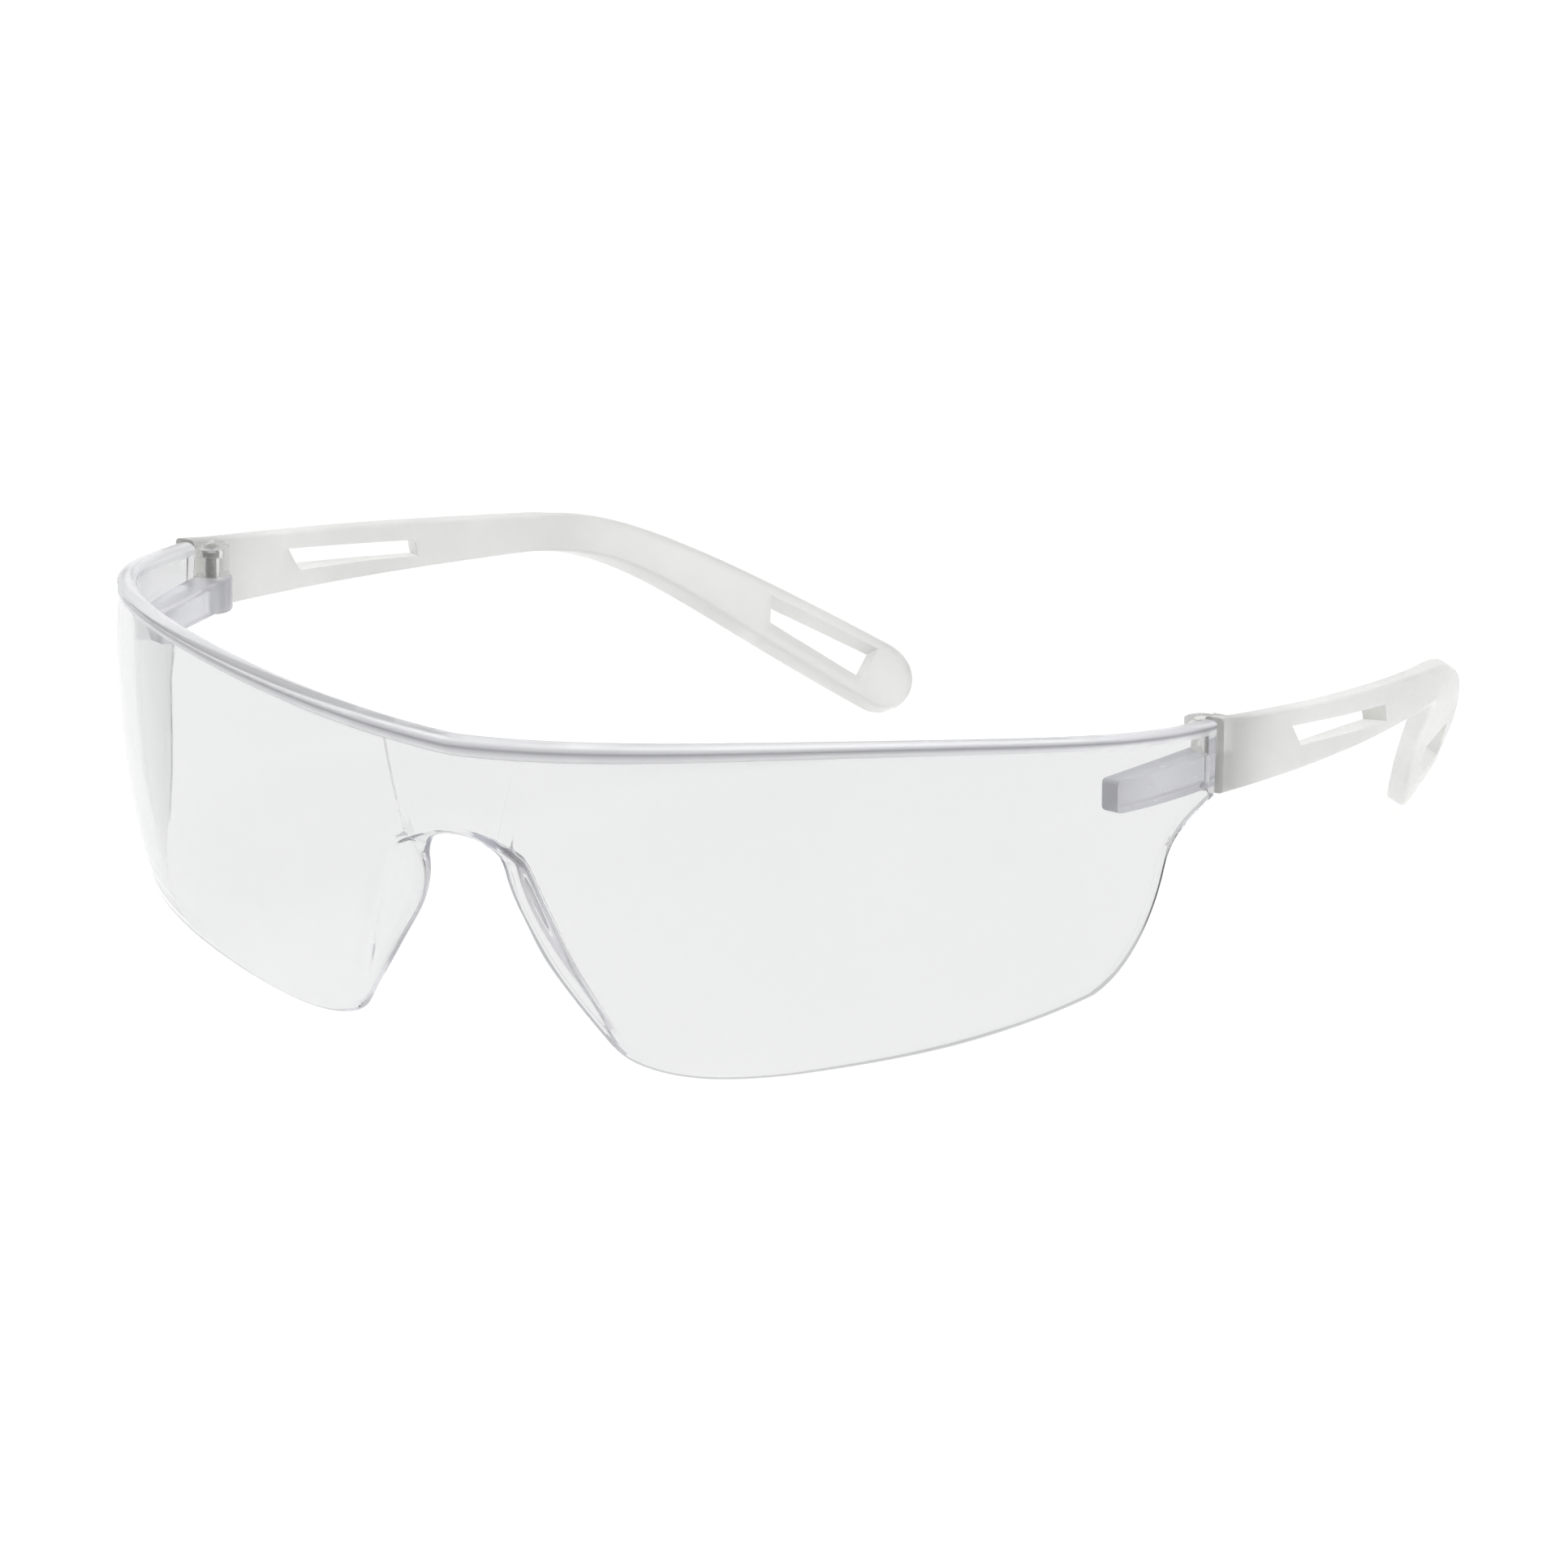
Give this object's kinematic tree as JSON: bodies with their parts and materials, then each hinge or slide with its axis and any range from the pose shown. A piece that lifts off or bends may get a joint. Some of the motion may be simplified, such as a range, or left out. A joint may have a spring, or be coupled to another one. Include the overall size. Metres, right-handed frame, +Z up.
{
  "type": "safety glasses",
  "caption": "Clear one-piece wraparound safety glasses with a moulded brow bar and nose pads and two wide slotted temples that fold on small hinge screws.",
  "frame": {"origin": "centre of the footprint, on the surface that the open glasses stand on", "axes": "+Z up, -Y out through the front of the lens, +Y back along the open temples, +X to the side of the wearer's left ear"},
  "size_m": [0.1458, 0.1662, 0.0443],
  "materials": {
    "clear_lens": "clear polished polycarbonate",
    "frosted_temple": "translucent frosted polycarbonate",
    "screw_steel": "dark small screw"
  },
  "bodies": {
    "front": {"lens": "clear_lens", "hinge_screw_left": "screw_steel", "hinge_screw_right": "screw_steel"},
    "left_temple": {"temple_left": "frosted_temple"},
    "right_temple": {"temple_right": "frosted_temple"}
  },
  "joints": [
    {"name": "left_temple_fold", "type": "hinge", "parent": "front", "child": "left_temple", "pos_m": [0.069, -0.02737, 0.0388], "axis": [0, 0, 1], "range_deg": [0, 88]},
    {"name": "right_temple_fold", "type": "hinge", "parent": "front", "child": "right_temple", "pos_m": [-0.069, -0.02737, 0.0388], "axis": [0, 0, -1], "range_deg": [0, 80]}
  ]
}
